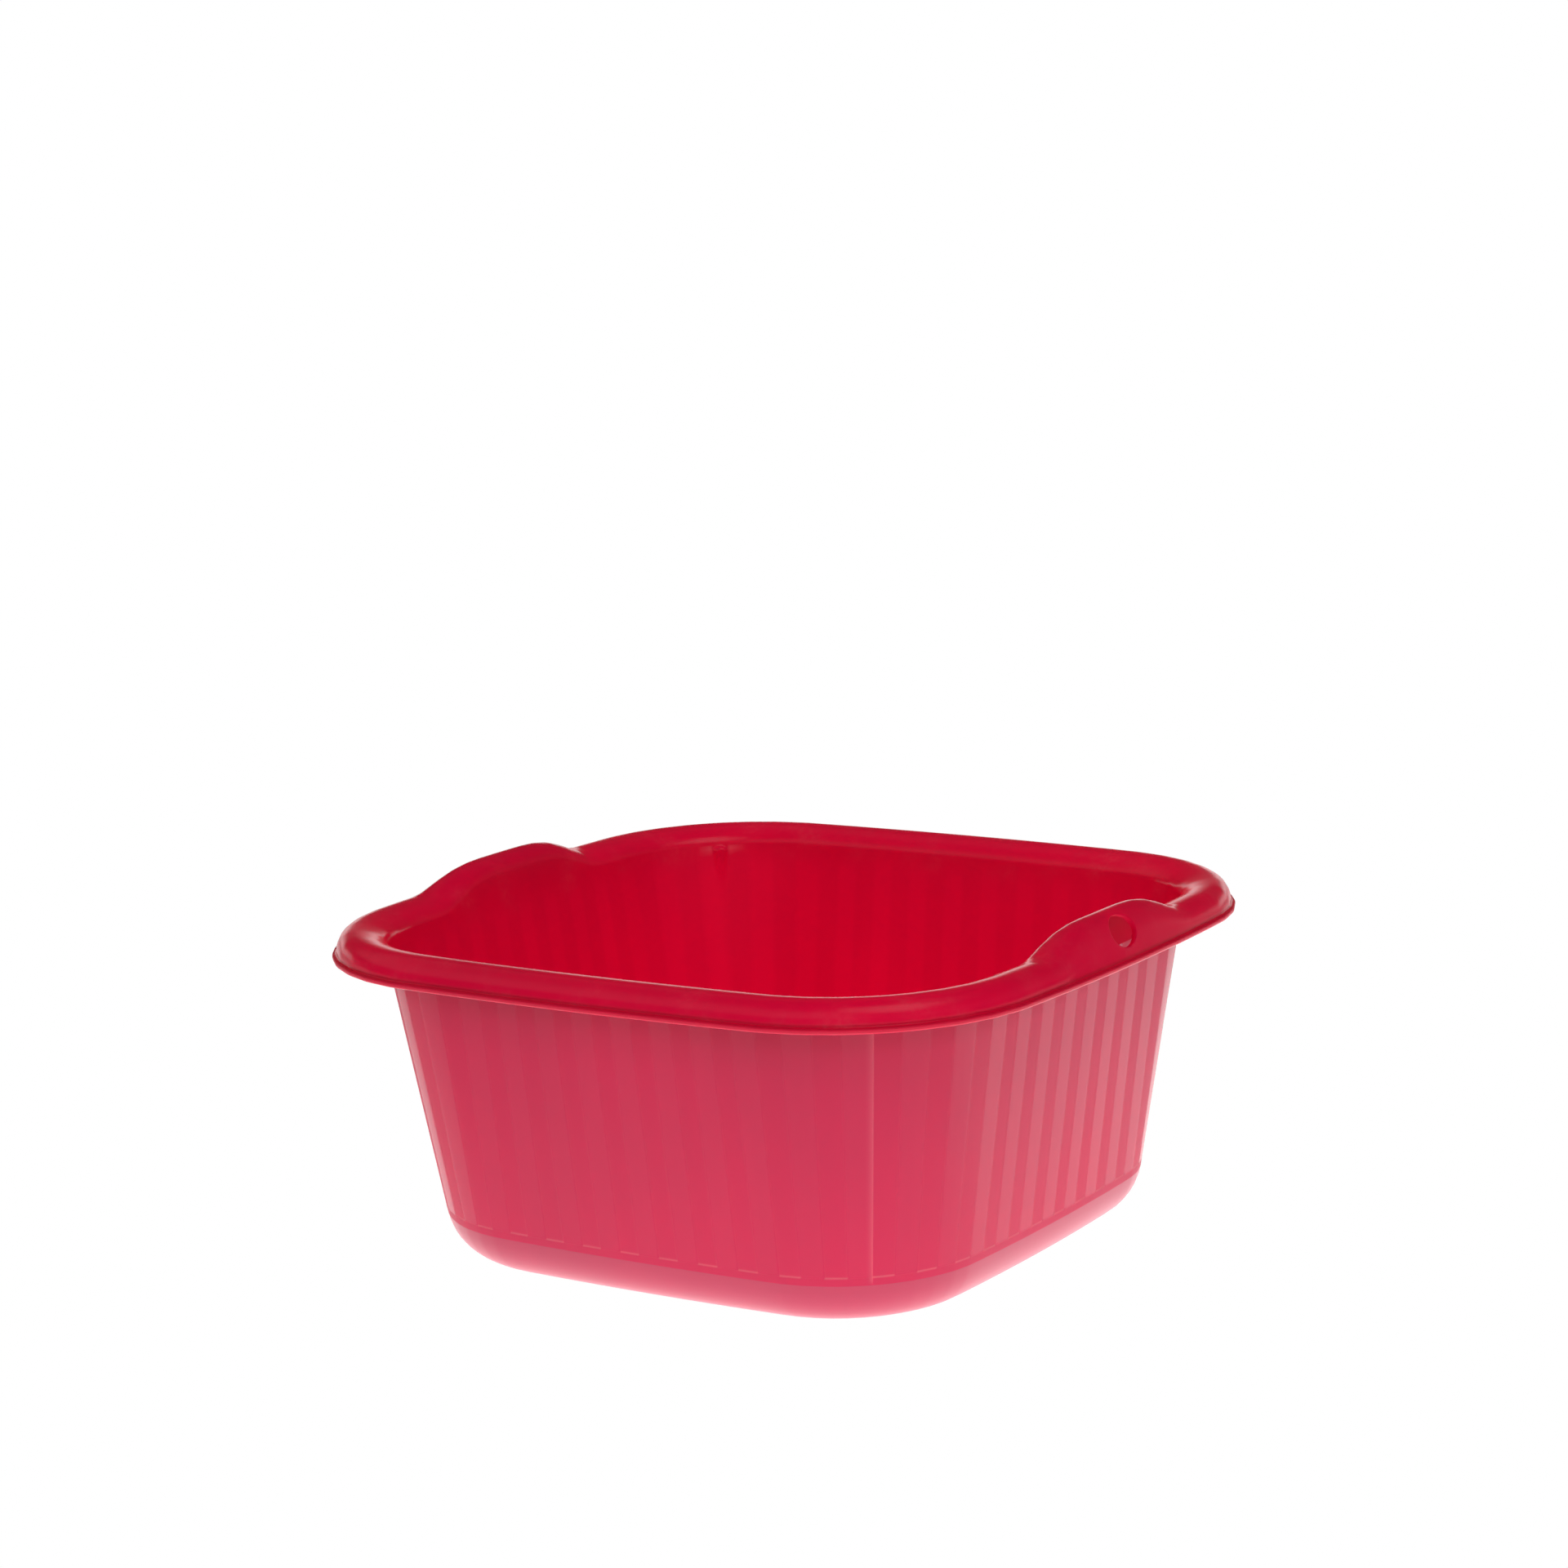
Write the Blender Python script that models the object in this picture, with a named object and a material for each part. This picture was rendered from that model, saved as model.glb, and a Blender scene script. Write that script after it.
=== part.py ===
"""Square plastic basin, about 32 cm across and 15 cm high, moulded in one piece.

Metres, +Z up.  The origin is the middle of the foot on the ground.  The two raised
grips are on the +X and -X sides, and the hanging hole is in the +X grip.

The basin is one closed skin.  A section through its wall is drawn as a list of rings,
from the underside out over the rim and down the inside to the floor, and each ring
is a square outline with bowed sides and round corners.
"""

import math

import bmesh
import bpy
from mathutils import Matrix, Vector

# Wall
FOOT_HALF = 0.1215            # centre to the outer wall, carried down to the ground, mid-side
RIM_HEIGHT = 0.1403           # ground to the crest of the rim between the grips
WALL_DRAFT = math.radians(7.85)
WALL_THICKNESS = 0.0020
FLOOR_THICKNESS = 0.0024
SIDE_BOW_RADIUS = 1.270       # the sides bulge a little, on this radius
CORNER_RADIUS_FOOT = 0.0610   # corner of the wall at the ground
CORNER_RADIUS_RIM = 0.0620    # corner of the wall at the height of the rim
FOOT_FILLET = 0.0220          # outer round between wall and base
FLOOR_FILLET = 0.0200         # inner round between wall and floor

# Base
FOOT_WIDTH = 0.0060           # flat ring that the basin stands on
PANEL_LIFT = 0.0012           # the panel inside that ring stands this far off the ground
GATE_DIAMETER = 0.016         # dimple round the injection point
GATE_DEPTH = 0.0005

# Vertical bands on the wall
BAND_COUNT = 48
BAND_SHARE = 0.48             # part of each pitch that is recessed
BAND_DEPTH = 0.0003
BAND_EDGE = 0.0008            # width of the step at a band's edge
BAND_START = 0.0224           # ledge at the lower end of the bands, above the ground
BAND_END_BELOW_RIM = 0.0100   # the bands end this far under the crest, behind the skirt

# Rim: a domed skirt that turns out and down from the wall
SKIRT_REACH = 0.0220          # outer wall face to the edge of the lip
SKIRT_DROP = 0.0118           # crest to the underside of the lip
CREST_OUT = 0.0104            # outer wall face to the crest
INNER_ROUND_DROP = 0.0075     # height of the round from the crest down to the inner wall
LIP_PROUD = 0.0016            # how far the bead stands out from the skirt
LIP_HEIGHT = 0.0024
LIP_CHAMFER = 0.0005

# Grips: the rim rises on two sides
GRIP_RISE = 0.0090
GRIP_SET_BACK = 0.0044        # the crest moves in towards the wall by this much
GRIP_HALF_LENGTH = 0.0549
GRIP_RUN = 0.0385             # length over which each end climbs to the top
GRIP_FULLNESS = 0.68          # under 1 makes the climb steeper near its foot

# Hanging hole in the +X grip
HOLE_LENGTH = 0.0190          # along the rim
HOLE_HEIGHT = 0.0135          # up the face of the skirt
HOLE_RISE = 0.0136            # centre of the hole above the underside of the lip
HOLE_DEPTH = 0.0065           # the drill stops in the hollow behind the skirt
HOLE_SIDES = 32

# Stacking lugs, high in two opposite inner corners
LUG_WIDTH = 0.0064
LUG_PROUD = 0.0024
LUG_HEIGHT = 0.0160
LUG_TOP_BELOW_RIM = 0.0085
LUG_SINK = 0.0010             # how far a lug is buried in the wall
LUG_CROWN = 0.0010            # rounded top
LUG_CORNERS = (1, 3)          # corners counted round from the one between +X and +Y
UNDER_LUGS = 0.0020           # a ring of the inner wall lies this far under them

# Look of the plastic
COLOUR = (0.58, 0.014, 0.045, 1.0)
ROUGHNESS = 0.38
SHARP_ANGLE = math.radians(35)

# Facets
FOOT_FILLET_STEPS = 3
FLOOR_FILLET_STEPS = 3
DOME_STEPS = 4
INNER_ROUND_STEPS = 3
SKIRT_INSIDE_STEPS = 3
LUG_STEPS = 6

SIDES = 4
SIDE_ANGLE = 2 * math.pi / SIDES


def wall_half(height):
    """Centre to the outer wall at mid-side."""
    return FOOT_HALF + height * math.tan(WALL_DRAFT)


def wall_corner(height):
    """Corner radius of the outer wall."""
    share = height / RIM_HEIGHT
    return CORNER_RADIUS_FOOT + share * (CORNER_RADIUS_RIM - CORNER_RADIUS_FOOT)


def outline_arcs(half, radius):
    """Centres of the corner arc and the side arc, and what half a side measures.

    The side arc and the corner arc meet without a corner.  The lengths are those from
    the middle of a side to the end of its arc, and from there to the diagonal.
    """
    back = SIDE_BOW_RADIUS - half
    reach = SIDE_BOW_RADIUS - radius
    corner = (-back + math.sqrt(2 * reach ** 2 - back ** 2)) / 2
    side_angle = math.atan2(corner, corner + back)
    side_length = SIDE_BOW_RADIUS * side_angle
    corner_length = radius * (SIDE_ANGLE / 2 - side_angle)
    return corner, -back, side_angle, side_length, corner_length


LEDGE_SIDE, LEDGE_CORNER = outline_arcs(wall_half(BAND_START), wall_corner(BAND_START))[3:]
SIDE_SHARE = LEDGE_SIDE / (LEDGE_SIDE + LEDGE_CORNER)


def outline_point(turn, half, radius):
    """Point of the outline at a share of the way round; 0 is the middle of the +X side.

    On the sides, places keep their distance from the middle at every height, so the
    bands run parallel there.  The corners take up what the outline gains in length.
    """
    side = math.floor(turn * SIDES + 0.5)
    along = 2 * (turn * SIDES - side)
    corner, side_centre, side_angle, side_length, corner_length = outline_arcs(half, radius)
    distance = abs(along) * (LEDGE_SIDE + LEDGE_CORNER)
    if abs(along) > SIDE_SHARE:
        past = (abs(along) - SIDE_SHARE) / (1 - SIDE_SHARE)
        distance = LEDGE_SIDE + past * (side_length + corner_length - LEDGE_SIDE)
    if distance <= side_length:
        angle = distance / SIDE_BOW_RADIUS
        x = side_centre + SIDE_BOW_RADIUS * math.cos(angle)
        y = SIDE_BOW_RADIUS * math.sin(angle)
    else:
        angle = side_angle + (distance - side_length) / radius
        x = corner + radius * math.cos(angle)
        y = corner + radius * math.sin(angle)
    y = math.copysign(y, along)
    turned = side * SIDE_ANGLE
    return Vector((
        x * math.cos(turned) - y * math.sin(turned),
        x * math.sin(turned) + y * math.cos(turned),
    ))


def band_stations():
    """Places round the outline, each with what it is: a band's edge or a middle."""
    stations = []
    pitch = 1 / BAND_COUNT
    first = 0.5 / SIDES
    for index in range(BAND_COUNT):
        middle = first + index * pitch
        edge = BAND_SHARE * pitch / 2
        along = (middle * SIDES) % 1.0
        in_corner = abs(along - 0.5) * 2 < 1 - SIDE_SHARE + 1.5 * pitch * SIDES
        stations.append((middle - edge, "into recess"))
        if in_corner:
            stations.append((middle, "recess"))
        stations.append((middle + edge, "out of recess"))
        stations.append((middle + pitch / 2, "raised"))
    return stations


STATIONS = band_stations()


def smooth_step(value):
    value = min(max(value, 0.0), 1.0)
    return value * value * (3 - 2 * value)


def grip_climb(along):
    """Share of a grip's full rise at a distance along its side."""
    climb = min(max((GRIP_HALF_LENGTH - abs(along)) / GRIP_RUN, 0.0), 1.0)
    return smooth_step(climb ** GRIP_FULLNESS)


def raised(point, lift, back):
    """A point of the rim at a grip: lifted up the slope of the wall, and set back."""
    if abs(point.x) < abs(point.y):
        return point
    climb = grip_climb(point.y)
    rise = GRIP_RISE * climb * lift
    outwards = math.copysign(1.0, point.x)
    shift = rise * math.tan(WALL_DRAFT) - GRIP_SET_BACK * climb * back
    return Vector((point.x + outwards * shift, point.y, point.z + rise))


def ring_point(turn, out, height, lift=0.0, back=0.0):
    half = wall_half(height) + out
    radius = wall_corner(height) + out
    flat = outline_point(turn, half, radius)
    return raised(Vector((flat.x, flat.y, height)), lift, back)


class Skin:
    """Rings of vertices, each joined to the last one."""

    def __init__(self):
        self.mesh = bmesh.new()
        self.last = None

    def add(self, ring):
        """Join a ring to the last one; each station holds one vertex, or two at an edge."""
        if self.last is not None:
            count = len(ring)
            for index in range(count):
                after = (index + 1) % count
                self.join(self.last[index], ring[index])
                self.mesh.faces.new((
                    self.last[index][-1],
                    self.last[after][0],
                    ring[after][0],
                    ring[index][-1],
                ))
        self.last = ring

    def join(self, below, above):
        """Fill in beside a band's edge, where a station holds two vertices."""
        if len(below) == 1 and len(above) == 2:
            self.mesh.faces.new((below[0], above[1], above[0]))
        if len(below) == 2 and len(above) == 1:
            self.mesh.faces.new((below[0], below[1], above[0]))
        if len(below) == 2 and len(above) == 2:
            self.mesh.faces.new((below[0], below[1], above[1], above[0]))

    def plain_ring(self, out, height, lift=0.0, back=0.0):
        ring = []
        for turn, _ in STATIONS:
            ring.append([self.mesh.verts.new(ring_point(turn, out, height, lift, back))])
        self.add(ring)
        return ring

    def band_ring(self, height):
        """A ring with every second stretch set back, and a small step at each edge."""
        way_round = 2 * SIDES * wall_half(height)
        half_edge = BAND_EDGE / way_round / 2
        ring = []
        for turn, kind in STATIONS:
            before = (turn - half_edge, 0.0)
            after = (turn + half_edge, -BAND_DEPTH)
            if kind == "out of recess":
                before = (turn - half_edge, -BAND_DEPTH)
                after = (turn + half_edge, 0.0)
            if kind == "raised":
                places = [(turn, 0.0)]
            elif kind == "recess":
                places = [(turn, -BAND_DEPTH)]
            else:
                places = [before, after]
            ring.append([self.mesh.verts.new(ring_point(t, out, height)) for t, out in places])
        self.add(ring)

    def cap(self, ring, looks_down):
        corners = [place[0] for place in ring]
        if looks_down:
            corners.reverse()
        self.mesh.faces.new(corners)


def drafted_fillet(radius, base, out, steps):
    """Arc from a level base to the drafted wall, as (out from the wall, height) pairs.

    base is the height of the flat, and out the wall's distance from the outer wall face.
    """
    lean = math.tan(WALL_DRAFT)
    centre_height = base + radius
    centre = out + centre_height * lean - radius / math.cos(WALL_DRAFT)
    points = []
    for index in range(steps + 1):
        angle = (math.pi / 2 - WALL_DRAFT) * index / steps
        height = centre_height - radius * math.cos(angle)
        points.append((centre + radius * math.sin(angle) - height * lean, height))
    return points


def quarter(centre_height, width, rise, first, last, steps):
    """Part of the rim's section: an arc of an ellipse centred under the crest.

    Its angle runs from 0 at the outside over 90 at the crest to 180 at the inside.  The
    last two numbers of each point are how far a grip lifts it and sets it back: fully at
    the crest, and not at all at the lip.
    """
    points = []
    wall_side = max(first, last) > 90
    for index in range(steps + 1):
        angle = math.radians(first + (last - first) * index / steps)
        lift = 1.0 if wall_side else math.sin(angle)
        back = 1.0 + math.cos(angle) if wall_side else math.sin(angle)
        points.append((
            CREST_OUT + width * math.cos(angle),
            centre_height + rise * math.sin(angle),
            lift,
            back,
        ))
    return points


def add_base_and_wall(skin):
    """Panel, foot ring, round and banded wall, up to the hollow under the rim."""
    fillet = drafted_fillet(FOOT_FILLET, 0.0, 0.0, FOOT_FILLET_STEPS)
    foot_out = fillet[0][0]
    foot_in = foot_out - FOOT_WIDTH
    panel = skin.plain_ring(foot_in - PANEL_LIFT, PANEL_LIFT)
    skin.cap(panel, looks_down=True)
    skin.plain_ring(foot_in, 0.0)
    for out, height in fillet:
        skin.plain_ring(out, height)
    skin.plain_ring(0.0, BAND_START)
    skin.band_ring(BAND_START + BAND_DEPTH)
    skin.band_ring(RIM_HEIGHT - BAND_END_BELOW_RIM)


def add_rim(skin):
    """Hollow, skirt and lip, then over the crest and a little way down the inner wall."""
    lip_height = RIM_HEIGHT - SKIRT_DROP
    dome_width = SKIRT_REACH - LIP_PROUD - CREST_OUT
    round_height = RIM_HEIGHT - INNER_ROUND_DROP
    hollow = quarter(
        round_height, CREST_OUT, INNER_ROUND_DROP - WALL_THICKNESS,
        180, 90, INNER_ROUND_STEPS)
    skirt_inside = quarter(
        lip_height, dome_width - WALL_THICKNESS, SKIRT_DROP - WALL_THICKNESS,
        90, 0, SKIRT_INSIDE_STEPS)
    lip = [
        (SKIRT_REACH - LIP_CHAMFER, lip_height),
        (SKIRT_REACH, lip_height + LIP_CHAMFER),
        (SKIRT_REACH, lip_height + LIP_HEIGHT - LIP_CHAMFER),
    ]
    groove = math.degrees(math.asin(LIP_HEIGHT / SKIRT_DROP))
    dome = quarter(lip_height, dome_width, SKIRT_DROP, groove, 90, DOME_STEPS)
    inner_round = quarter(
        round_height, CREST_OUT + WALL_THICKNESS, INNER_ROUND_DROP,
        90, 180, INNER_ROUND_STEPS)
    for place in hollow + skirt_inside[1:] + lip + dome + inner_round[1:]:
        skin.plain_ring(*place)
    under_lugs = RIM_HEIGHT - LUG_TOP_BELOW_RIM - LUG_HEIGHT - UNDER_LUGS
    skin.plain_ring(-WALL_THICKNESS, under_lugs)


def basin_mesh():
    skin = Skin()
    add_base_and_wall(skin)
    add_rim(skin)
    inside = drafted_fillet(
        FLOOR_FILLET, FLOOR_THICKNESS, -WALL_THICKNESS, FLOOR_FILLET_STEPS)
    for out, height in reversed(inside):
        floor = skin.plain_ring(out, height)
    skin.cap(floor, looks_down=False)
    mesh = bpy.data.meshes.new("basin")
    bmesh.ops.recalc_face_normals(skin.mesh, faces=skin.mesh.faces)
    skin.mesh.to_mesh(mesh)
    skin.mesh.free()
    return mesh


def plastic():
    material = bpy.data.materials.new("red_polypropylene")
    material.use_nodes = True
    shader = material.node_tree.nodes["Principled BSDF"]
    shader.inputs["Base Color"].default_value = COLOUR
    shader.inputs["Roughness"].default_value = ROUGHNESS
    return material


def place(name, mesh):
    thing = bpy.data.objects.new(name, mesh)
    bpy.context.scene.collection.objects.link(thing)
    return thing


def tool(name, mesh):
    """A cutter or a form, which is not part of the object."""
    thing = place(name, mesh)
    thing.hide_render = True
    thing.display_type = "WIRE"
    return thing


def combine(body, other, operation):
    modifier = body.modifiers.new(other.name, "BOOLEAN")
    modifier.object = other
    modifier.operation = operation
    modifier.solver = "EXACT"


def drill(name, across, along, length, centre, axis):
    """Oval cutter; across lies level, and along lies square to it and to the axis."""
    mesh = bpy.data.meshes.new(name)
    form = bmesh.new()
    level = Vector((0, 1, 0))
    turn = Matrix((level, axis.cross(level), axis)).transposed().to_4x4()
    size = Matrix.Diagonal((across, along, length, 1))
    bmesh.ops.create_cone(
        form, cap_ends=True, segments=HOLE_SIDES, radius1=0.5, radius2=0.5,
        depth=1.0, matrix=Matrix.Translation(centre) @ turn @ size)
    bmesh.ops.recalc_face_normals(form, faces=form.faces)
    form.to_mesh(mesh)
    form.free()
    return tool(name, mesh)


def skirt_point(angle):
    """Point of the skirt's face at the middle of the +X grip."""
    lip_height = RIM_HEIGHT - SKIRT_DROP
    dome_width = SKIRT_REACH - LIP_PROUD - CREST_OUT
    degrees = math.degrees(angle)
    return ring_point(0.0, *quarter(lip_height, dome_width, SKIRT_DROP, degrees, degrees, 1)[0])


def hanging_hole():
    """Drill for the hole, square to the skirt at the middle of the +X grip."""
    angle = math.asin(HOLE_RISE / (SKIRT_DROP + GRIP_RISE))
    step = math.radians(1)
    up_the_face = (skirt_point(angle + step) - skirt_point(angle - step)).normalized()
    axis = Vector((up_the_face.z, 0, -up_the_face.x))
    return drill(
        "hole_drill", HOLE_LENGTH, HOLE_HEIGHT, 2 * HOLE_DEPTH, skirt_point(angle), axis)


def gate_dimple():
    """Shallow dimple in the middle of the base, where the plastic went in."""
    return drill(
        "gate_cutter", GATE_DIAMETER, GATE_DIAMETER, 2 * GATE_DEPTH,
        Vector((0, 0, PANEL_LIFT)), Vector((0, 0, 1)))


def lug_section(form, height, proud, width, direction, across, face):
    """One level of a lug: a half-round front and a back buried in the wall."""
    base = face - direction * LUG_SINK
    corners = []
    for index in range(LUG_STEPS + 1):
        angle = math.pi * index / LUG_STEPS
        side = math.cos(angle) * width / 2
        front = LUG_SINK + proud * math.sin(angle)
        point = base + across * side + direction * front
        corners.append(form.verts.new((point.x, point.y, height)))
    for side in (-width / 2, width / 2):
        point = base + across * side
        corners.append(form.verts.new((point.x, point.y, height)))
    return corners


def stacking_lugs():
    """Half-round lugs that keep stacked basins from jamming, in two opposite corners."""
    form = bmesh.new()
    top = RIM_HEIGHT - LUG_TOP_BELOW_RIM
    levels = (
        (top - LUG_HEIGHT, -LUG_SINK / 2, LUG_WIDTH / 2),
        (top - LUG_CROWN, LUG_PROUD, LUG_WIDTH),
        (top, LUG_PROUD - LUG_CROWN, LUG_WIDTH - LUG_CROWN),
    )
    for side in LUG_CORNERS:
        turn = (side + 0.5) / SIDES
        bearing = (side + 0.5) * SIDE_ANGLE
        direction = -Vector((math.cos(bearing), math.sin(bearing)))
        across = Vector((direction.y, -direction.x))
        last = None
        for height, proud, width in levels:
            half = wall_half(height) - WALL_THICKNESS
            radius = wall_corner(height) - WALL_THICKNESS
            face = outline_point(turn, half, radius)
            ring = lug_section(form, height, proud, width, direction, across, face)
            if last is None:
                form.faces.new(ring)
            else:
                for index in range(len(ring)):
                    after = (index + 1) % len(ring)
                    form.faces.new((last[index], last[after], ring[after], ring[index]))
            last = ring
        form.faces.new(last)
    bmesh.ops.recalc_face_normals(form, faces=form.faces)
    mesh = bpy.data.meshes.new("lug_forms")
    form.to_mesh(mesh)
    form.free()
    return tool("lug_forms", mesh)


def main():
    for thing in list(bpy.data.objects):
        bpy.data.objects.remove(thing)
    basin = place("basin", basin_mesh())
    basin.data.materials.append(plastic())
    basin.data.shade_smooth()
    basin.data.set_sharp_from_angle(angle=SHARP_ANGLE)
    combine(basin, stacking_lugs(), "UNION")
    combine(basin, hanging_hole(), "DIFFERENCE")
    combine(basin, gate_dimple(), "DIFFERENCE")


main()
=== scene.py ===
"""Visual model of the square plastic basin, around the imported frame.

The basin is drawn again as one closed skin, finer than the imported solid: bands, lip, ledge
and lugs get their small rounds, and the hanging hole its rim. Most sizes are the solid's. A
few were fitted again to close-ups of the photograph, and these are listed apart.
Metres, +Z up, origin in the middle of the foot, as in the frame.
"""

import math

import bmesh
import bpy
from mathutils import Matrix, Vector
from mathutils.bvhtree import BVHTree


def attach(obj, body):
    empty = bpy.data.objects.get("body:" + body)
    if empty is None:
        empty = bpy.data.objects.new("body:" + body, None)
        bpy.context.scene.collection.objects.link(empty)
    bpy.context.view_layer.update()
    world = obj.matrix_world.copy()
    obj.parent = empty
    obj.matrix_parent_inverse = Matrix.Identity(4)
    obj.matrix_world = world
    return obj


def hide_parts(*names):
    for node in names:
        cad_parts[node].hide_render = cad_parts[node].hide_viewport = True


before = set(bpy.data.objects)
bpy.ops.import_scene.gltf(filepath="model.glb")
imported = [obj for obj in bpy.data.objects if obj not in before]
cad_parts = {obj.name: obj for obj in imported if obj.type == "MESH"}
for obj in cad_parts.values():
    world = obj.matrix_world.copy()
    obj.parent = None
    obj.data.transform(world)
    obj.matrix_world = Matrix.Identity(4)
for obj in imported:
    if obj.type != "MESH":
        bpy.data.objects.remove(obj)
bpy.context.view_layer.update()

# Sizes of the basin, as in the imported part
FOOT_HALF = 0.1215
RIM_HEIGHT = 0.1403
WALL_DRAFT = math.radians(7.85)
WALL_THICKNESS = 0.0020
FLOOR_THICKNESS = 0.0024
SIDE_BOW_RADIUS = 1.270
CORNER_RADIUS_FOOT = 0.0610
CORNER_RADIUS_RIM = 0.0620
FOOT_FILLET = 0.0220
FLOOR_FILLET = 0.0200
FOOT_WIDTH = 0.0060
PANEL_LIFT = 0.0012
GATE_RADIUS = 0.008
GATE_DEPTH = 0.0005
BAND_COUNT = 48
BAND_SHARE = 0.48
BAND_EDGE = 0.0008
BAND_START = 0.0224
BAND_END_BELOW_RIM = 0.0100
SKIRT_REACH = 0.0220
SKIRT_DROP = 0.0118
CREST_OUT = 0.0104
INNER_ROUND_DROP = 0.0075
LIP_PROUD = 0.0016
LIP_HEIGHT = 0.0024
GRIP_RISE = 0.0090
HOLE_LENGTH = 0.0190
HOLE_HEIGHT = 0.0135
HOLE_RISE = 0.0136
LUG_WIDTH = 0.0064
LUG_HEIGHT = 0.0160
LUG_CORNERS = (1, 3)

# Sizes fitted again to close-ups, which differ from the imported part's or aren't in it
BAND_DEPTH = 0.000045          # in the solid the bands are deeper, as a real step
GRIP_SET_BACK = 0.0046
GRIP_HALF_LENGTH = 0.0569
GRIP_RUN = 0.0534
LUG_PROUD = 0.0018
LUG_TOP_BELOW_RIM = 0.0075
LUG_OFF_CORNER = -0.0035       # from the corner's diagonal, along the wall
LUG_FOOT_SHARE = 0.6           # width at a lug's foot, as a share of LUG_WIDTH
LUG_CLIMB = 1.15               # how soon a lug reaches its full thickness

# Small rounds and mould marks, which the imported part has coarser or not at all
LIP_TILT = 0.0003              # the lip's outer top edge lies lower by this much
GROOVE_CUT = 0.0002            # how far the groove over the lip cuts in and up
GROOVE_HEIGHT = 0.0016         # from the lip's top to the start of the skirt's curve
LIP_ROUND = 0.0007
GROOVE_ROUND = 0.0009
FOOT_ROUND = 0.0005
HOLE_ROUND = 0.0005
SEAM_RIDGE = 0.00010
SEAM_WIDTH = 0.0008
LEDGE_REACH = 0.0006
LUG_EDGE = 0.0018

# Where painted highlights make the plastic paler and painted shade makes it deeper
SEAM_FADE = 0.0028             # width of the painted highlight strip beside a parting line
SEAM_STRIP = 0.8               # and how pale that painted strip is, as a share of the line itself
SHADE_NEAR = 0.006             # painted shade under the rim at full depth from the lip down to here
SHADE_FADE = 0.011             # and gone after this much more
GROOVE_RISE = 0.0004           # the groove's darkest height over the lip
GROOVE_SPREAD = 0.0013
INSIDE_FADE = 0.012            # how far down the inside's own look comes in: painted lighter tone, painted stripes, rougher finish

SIDES = 4
SIDE_ANGLE = 2 * math.pi / SIDES
LIP_HEIGHT_ABOVE_GROUND = RIM_HEIGHT - SKIRT_DROP
ROUND_HEIGHT = RIM_HEIGHT - INNER_ROUND_DROP
DOME_WIDTH = SKIRT_REACH - LIP_PROUD - CREST_OUT


def wall_half(height):
    return FOOT_HALF + height * math.tan(WALL_DRAFT)


def wall_corner(height):
    share = height / RIM_HEIGHT
    return CORNER_RADIUS_FOOT + share * (CORNER_RADIUS_RIM - CORNER_RADIUS_FOOT)


def outline_arcs(half, radius):
    back = SIDE_BOW_RADIUS - half
    reach = SIDE_BOW_RADIUS - radius
    corner = (-back + math.sqrt(2 * reach ** 2 - back ** 2)) / 2
    side_angle = math.atan2(corner, corner + back)
    return (corner, -back, side_angle, SIDE_BOW_RADIUS * side_angle,
            radius * (SIDE_ANGLE / 2 - side_angle))


LEDGE_SIDE, LEDGE_CORNER = outline_arcs(wall_half(BAND_START), wall_corner(BAND_START))[3:]
SIDE_SHARE = LEDGE_SIDE / (LEDGE_SIDE + LEDGE_CORNER)
WAY_ROUND = 2 * SIDES * (LEDGE_SIDE + LEDGE_CORNER)


def outline_point(turn, half, radius):
    """Point of the outline at a share of the way round; 0 is the middle of the +X side."""
    side = math.floor(turn * SIDES + 0.5)
    along = 2 * (turn * SIDES - side)
    corner, side_centre, side_angle, side_length, corner_length = outline_arcs(half, radius)
    distance = abs(along) * (LEDGE_SIDE + LEDGE_CORNER)
    if abs(along) > SIDE_SHARE:
        past = (abs(along) - SIDE_SHARE) / (1 - SIDE_SHARE)
        distance = LEDGE_SIDE + past * (side_length + corner_length - LEDGE_SIDE)
    if distance <= side_length:
        angle = distance / SIDE_BOW_RADIUS
        x = side_centre + SIDE_BOW_RADIUS * math.cos(angle)
        y = SIDE_BOW_RADIUS * math.sin(angle)
    else:
        angle = side_angle + (distance - side_length) / radius
        x = corner + radius * math.cos(angle)
        y = corner + radius * math.sin(angle)
    y = math.copysign(y, along)
    turned = side * SIDE_ANGLE
    return Vector((
        x * math.cos(turned) - y * math.sin(turned),
        x * math.sin(turned) + y * math.cos(turned),
    ))


def smooth_step(value):
    value = min(max(value, 0.0), 1.0)
    return value * value * (3 - 2 * value)


def grip_climb(along):
    climb = min(max((GRIP_HALF_LENGTH - abs(along)) / GRIP_RUN, 0.0), 1.0)
    return smooth_step(climb * (2 - climb))


def raised(point, lift, back):
    """A point of the rim at a grip: lifted up the slope of the wall, and set back."""
    if abs(point.x) < abs(point.y):
        return point
    climb = grip_climb(point.y)
    rise = GRIP_RISE * climb * lift
    outwards = math.copysign(1.0, point.x)
    shift = rise * math.tan(WALL_DRAFT) - GRIP_SET_BACK * climb * back
    return Vector((point.x + outwards * shift, point.y, point.z + rise))


def ring_point(turn, out, height, lift=0.0, back=0.0):
    flat = outline_point(turn, wall_half(height) + out, wall_corner(height) + out)
    return raised(Vector((flat.x, flat.y, height)), lift, back)


# Places round the outline

PITCH = 1 / BAND_COUNT
FIRST_BAND = 0.5 / SIDES
HALF_EDGE = BAND_EDGE / WAY_ROUND / 2
HOLE_SPACING = 0.0011   # between vertices in the middle of the +X side, where the hole is
SOFT_EDGE = 0.30   # width of the soft edge of a painted stripe of light on the inside, as a share of the pitch


def band_place(turn):
    """Distance from the middle of the nearest recess, in turns, with its sign."""
    from_first = (turn - FIRST_BAND) / PITCH
    return (from_first - math.floor(from_first + 0.5)) * PITCH


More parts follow.
